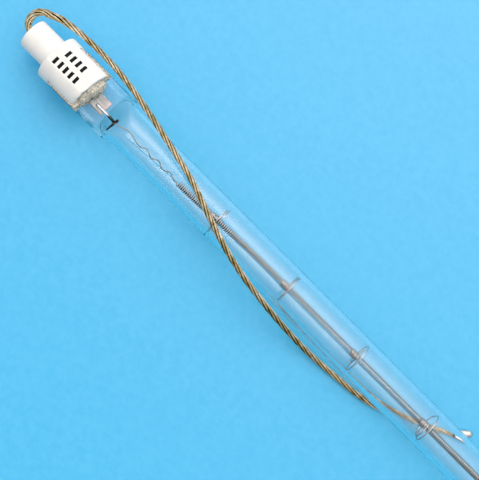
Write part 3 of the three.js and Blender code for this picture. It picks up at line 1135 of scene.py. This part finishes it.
def coil_middle(along):
    """The coil's sideways place: off the axis at its ends and centred further in."""
    near = smoothstep(COIL_START, COIL_CENTRED, along)
    far = smoothstep(COIL_START, COIL_CENTRED, LAMP_LENGTH - along)
    return COIL_SIDESTEP * (far - near)


def leg_path():
    """The stretched leg: one long wave at the hook, then shorter ones up to the coil."""
    centre = -0.66 * MM
    reach = 0.36 * MM
    first_wave = 6.9 * MM
    wave = 3.7 * MM
    start = 28.1 * MM
    first_end = start + first_wave
    step = 0.25 * MM
    on_the_hook = HOOK_START.lerp(HOOK_END, 0.34) + Vector((0.15, 0, 0.4)) * MM
    path = [on_the_hook]
    along = start
    while along < COIL_START - 0.5 * MM:
        if along < first_end:
            phase = math.pi + 2 * math.pi * (along - start) / first_wave
        else:
            phase = math.pi + 2 * math.pi * (along - first_end) / wave
        path.append(Vector((along, centre + reach * math.cos(phase), reach * math.sin(phase))))
        along += step
    return path


def coil_turn(along):
    """The angle round the lamp that the coil's wire has reached at that place."""
    return math.pi + 2 * math.pi * (along - COIL_START) / COIL_PITCH


def coil_path():
    steps = 12
    radius = COIL_RADIUS - COIL_WIRE_RADIUS
    path = []
    for i in range(COIL_TURNS * steps + 1):
        along = COIL_START + COIL_PITCH * i / steps
        middle = Vector((along, coil_middle(along), 0))
        path.append(middle + on_circle(0, radius, coil_turn(along)))
    return path


def make_filament(material):
    skin = Skin()
    leg = leg_path()
    coil = coil_path()
    joining = smooth_path([leg[-2], leg[-1], coil[0], coil[1]], 4)[5:8]
    leg_wire = [*leg, *joining, coil[0]]
    skin.wire(leg_wire, LEG_WIRE_RADIUS, 8)
    skin.wire(coil, COIL_WIRE_RADIUS, 6)
    turned_round = [Vector((LAMP_LENGTH - p.x, -p.y, p.z)) for p in leg_wire]
    skin.wire(turned_round, LEG_WIRE_RADIUS, 8)
    mesh = skin.mesh("filament_coil")
    # Painted shade: the coil's wire goes dark away from the crowns of its turns, and the legs are
    # painted evenly part-way dark.
    leg_unshaded = 0.4
    unshaded_values = []
    for x, y, z in (vertex.co for vertex in mesh.vertices):
        off_axis = math.hypot(y - coil_middle(x), z) / COIL_RADIUS
        in_coil = COIL_START < x < LAMP_LENGTH - COIL_START
        unshaded_values.append(smoothstep(0.9, 0.99, off_axis) if in_coil else leg_unshaded)
    mark_painted_shade(mesh, unshaded_values)
    return add_piece("filament_coil", mesh, material, ["filament"], NEAR_FRAME)


def support_mesh():
    """One support: turns that screw in between the coil's own, a spoke out, and an open ring.

    The turns lie in the coil's gaps, almost touching the wire on each side, so they barely stand out.
    """
    wire = SUPPORT_WIRE_RADIUS
    apart = COIL_WIRE_RADIUS + wire + 0.01 * MM
    nested = math.sqrt(apart**2 - (COIL_PITCH / 2) ** 2)
    hub_radius = COIL_RADIUS - COIL_WIRE_RADIUS + nested
    steps = 18
    path = []
    hub_steps = round((HUB_LENGTH - wire) / COIL_PITCH * steps)
    for i in range(hub_steps):
        along = COIL_PITCH * (i - hub_steps) / steps
        path.append(on_circle(along, hub_radius, 2 * math.pi * (i - hub_steps) / steps - SPOKE_TURN))
    spoke_steps = 9
    for i in range(spoke_steps):
        share = i / spoke_steps
        reach = mix(hub_radius, RING_RADIUS, math.sin(share * math.pi / 2))
        path.append(on_circle(0, reach, -SPOKE_TURN * (1 - share)))
    ring_steps = round(RING_TURNS * 36)
    for i in range(ring_steps + 1):
        turn = 2 * math.pi * RING_TURNS * i / ring_steps
        path.append(on_circle(RING_PITCH * turn / (2 * math.pi), RING_RADIUS, turn))
    skin = Skin()
    skin.wire(path, wire, 10)
    mesh = skin.mesh("filament_support")
    # Painted shade on the turns that sit in the coil's gaps; the spoke and ring keep their colour.
    unshaded_values = []
    for x, y, z in (vertex.co for vertex in mesh.vertices):
        outward = math.hypot(y, z) / (hub_radius + wire)
        unshaded_values.append(smoothstep(0.88, 0.985, outward))
    mark_painted_shade(mesh, unshaded_values)
    return mesh


def make_supports(material):
    mesh = support_mesh()
    for i in range(SUPPORT_COUNT):
        node = f"filament_support_{i + 1:02d}"
        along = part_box(node)[0].x + HUB_LENGTH
        middle = Matrix.Translation((along, coil_middle(along - REAR), 0))
        in_the_gap = coil_turn(along - REAR) + math.pi + SPOKE_TURN
        place = middle @ Matrix.Rotation(in_the_gap, 4, "X")
        add_piece(f"support_wire_{i + 1:02d}", mesh.copy(), material, [node], place)


# Everything together: the camera and the lead first.

make_camera()
make_floor()
make_light()
set_tone()

lead, lead_path = make_lead(lead_look())
lead_tip = make_lead_tip(weld_look(), lead_path[-1])

end_looks = {
    "printed_ceramic": ceramic_look(printed=True),
    "ceramic": ceramic_look(printed=False),
    "cement": cement_look(),
    "foil": foil_look(),
    "pin": pin_look(),
}
make_end("near", end_looks)
make_end("far", end_looks)
make_envelope(quartz_look())
make_filament(tungsten_look())
make_supports(ring_look())
